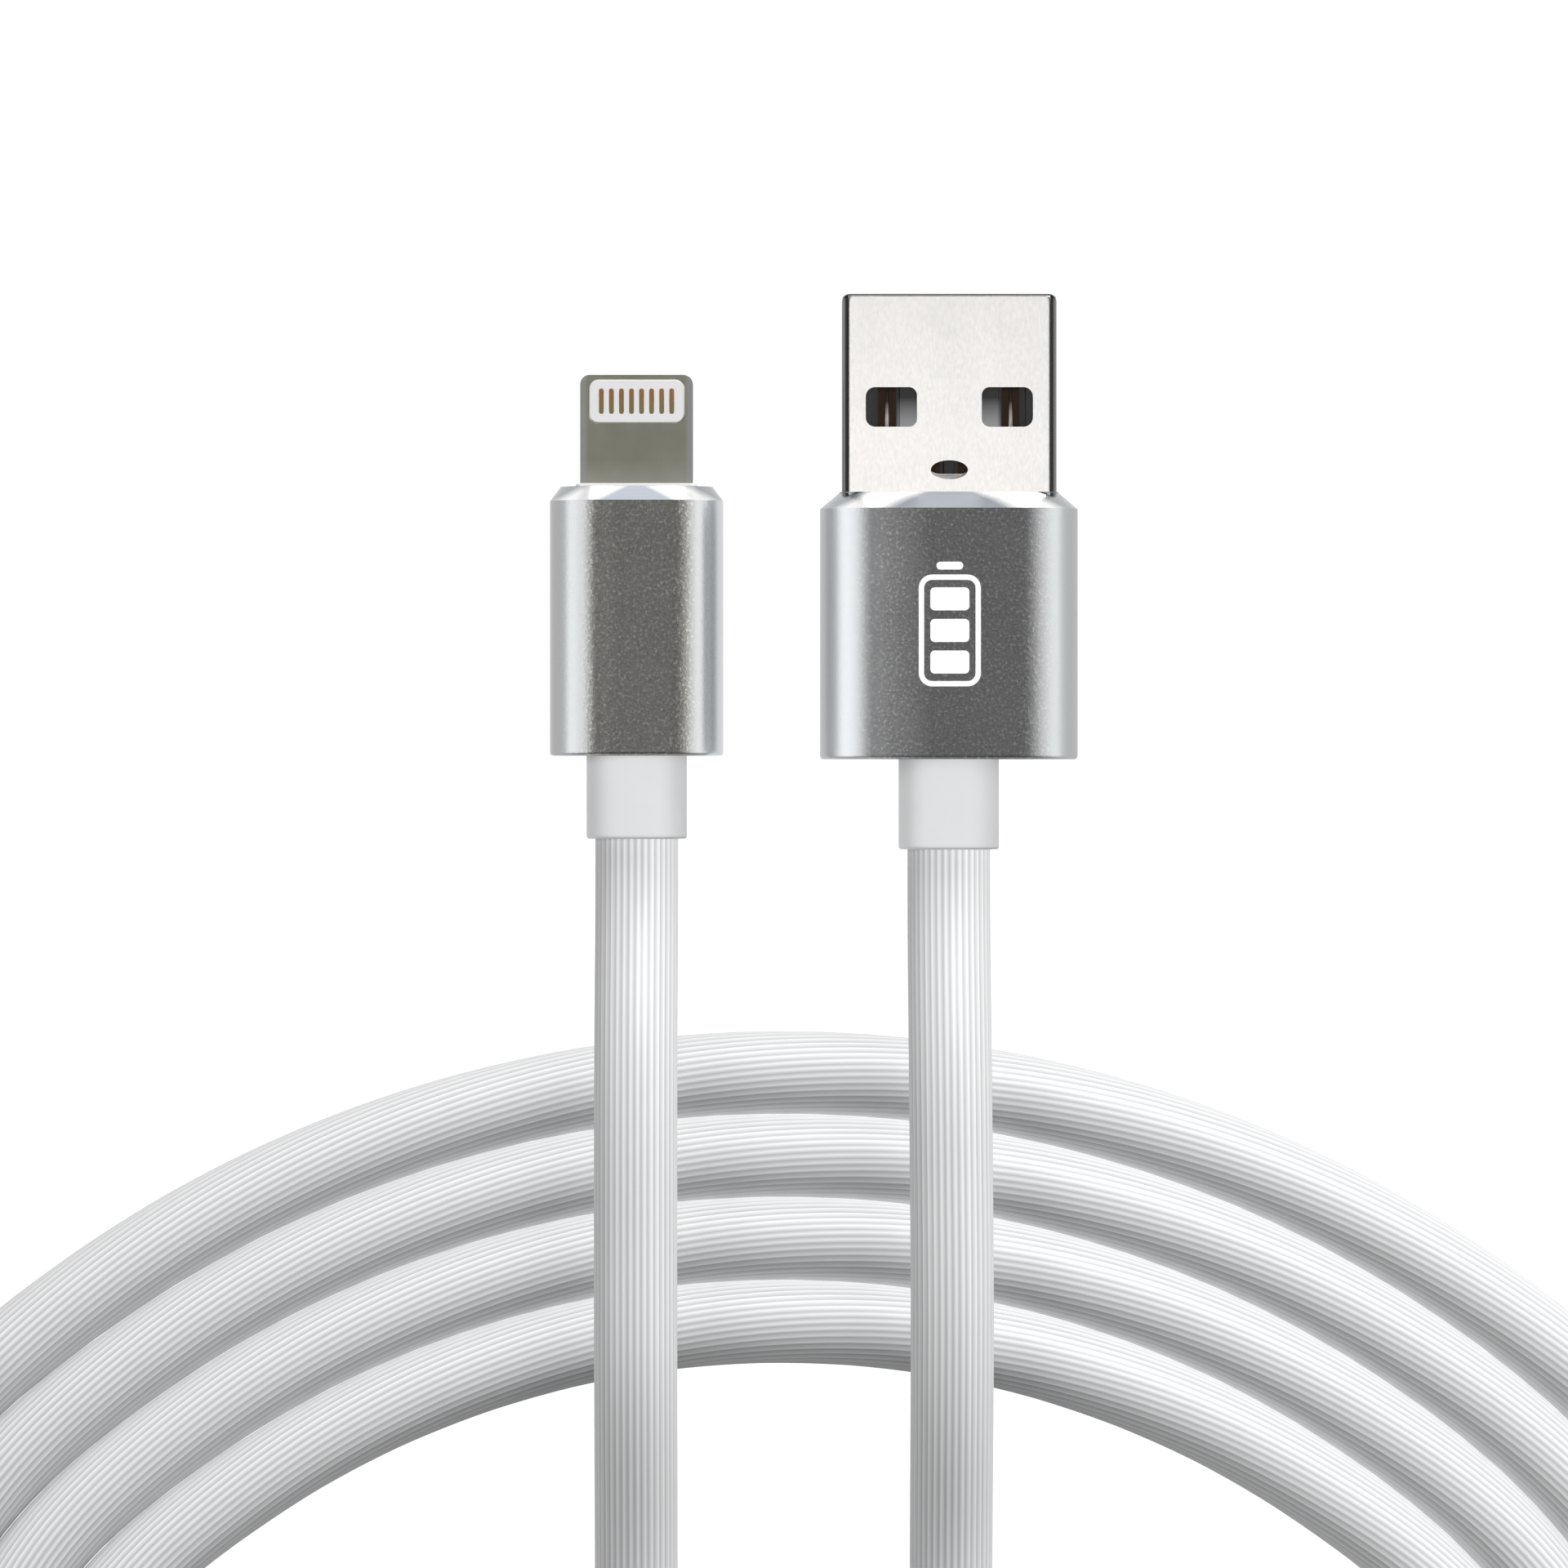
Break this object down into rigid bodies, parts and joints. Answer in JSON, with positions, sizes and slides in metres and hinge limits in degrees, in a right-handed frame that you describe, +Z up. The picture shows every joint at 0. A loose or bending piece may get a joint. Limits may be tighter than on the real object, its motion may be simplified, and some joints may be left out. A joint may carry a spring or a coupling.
{
  "type": "charging cable",
  "caption": "Charging cable: a rectangular metal charger plug and a flat reversible phone plug in grey metal housings, joined by a ribbed white cord wound into a flat coil.",
  "frame": {"origin": "on the surface the cable lies on, under the middle of the two plugs laid side by side", "axes": "+Y out of the plugs' tips along their length, +X from the phone plug to the charger plug, +Z up from the surface"},
  "size_m": [0.1174, 0.1236, 0.0103],
  "materials": {
    "aluminium": "bead-blasted grey aluminium with a polished chamfer round the nose",
    "nickel_shell": "nickel-plated steel sheet with faint lengthways brushing",
    "satin_steel": "satin steel",
    "gold_contact": "gold-plated spring contact",
    "capacitor": "ceramic body",
    "white_plastic": "smooth moulded plastic, satin",
    "black_plastic": "moulded insulator, satin",
    "ribbed_jacket": "soft white jacket with fine ribs along it",
    "circuit_board": "green solder mask",
    "solder": "tin solder",
    "wire_red": "wire insulation",
    "wire_white": "wire insulation",
    "wire_green": "wire insulation",
    "wire_black": "wire insulation",
    "strap": "woven hook-and-loop strap"
  },
  "bodies": {
    "root": {"charger_housing": "aluminium", "phone_housing": "aluminium", "charger_shell": "nickel_shell", "phone_tab_frame": "satin_steel", "phone_can_top": "satin_steel", "phone_can_bottom": "satin_steel", "charger_crimp_ring": "satin_steel", "phone_crimp_ring": "satin_steel", "charger_contact_1": "gold_contact", "charger_contact_2": "gold_contact", "charger_contact_3": "gold_contact", "charger_contact_4": "gold_contact", "phone_contact_front_1": "gold_contact", "phone_contact_front_2": "gold_contact", "phone_contact_front_3": "gold_contact", "phone_contact_front_4": "gold_contact", "phone_contact_front_5": "gold_contact", "phone_contact_front_6": "gold_contact", "phone_contact_front_7": "gold_contact", "phone_contact_front_8": "gold_contact", "phone_contact_back_1": "gold_contact", "phone_contact_back_2": "gold_contact", "phone_contact_back_3": "gold_contact", "phone_contact_back_4": "gold_contact", "phone_contact_back_5": "gold_contact", "phone_contact_back_6": "gold_contact", "phone_contact_back_7": "gold_contact", "phone_contact_back_8": "gold_contact", "phone_capacitor_1": "capacitor", "phone_capacitor_2": "capacitor", "charger_strain_relief": "white_plastic", "phone_strain_relief": "white_plastic", "phone_contact_insert": "white_plastic", "charger_carrier_top": "white_plastic", "charger_carrier_bottom": "white_plastic", "charger_tongue": "black_plastic", "phone_chip": "black_plastic", "cord_charger_lead": "ribbed_jacket", "cord_coil": "ribbed_jacket", "cord_phone_lead": "ribbed_jacket", "charger_jacket_end": "ribbed_jacket", "phone_jacket_end": "ribbed_jacket", "phone_board": "circuit_board", "charger_solder_joint_1": "solder", "charger_solder_joint_2": "solder", "charger_solder_joint_3": "solder", "charger_solder_joint_4": "solder", "charger_wire_red": "wire_red", "phone_wire_red": "wire_red", "charger_wire_white": "wire_white", "phone_wire_white": "wire_white", "charger_wire_green": "wire_green", "phone_wire_green": "wire_green", "charger_wire_black": "wire_black", "phone_wire_black": "wire_black", "coil_tie": "strap"}
  },
  "joints": []
}
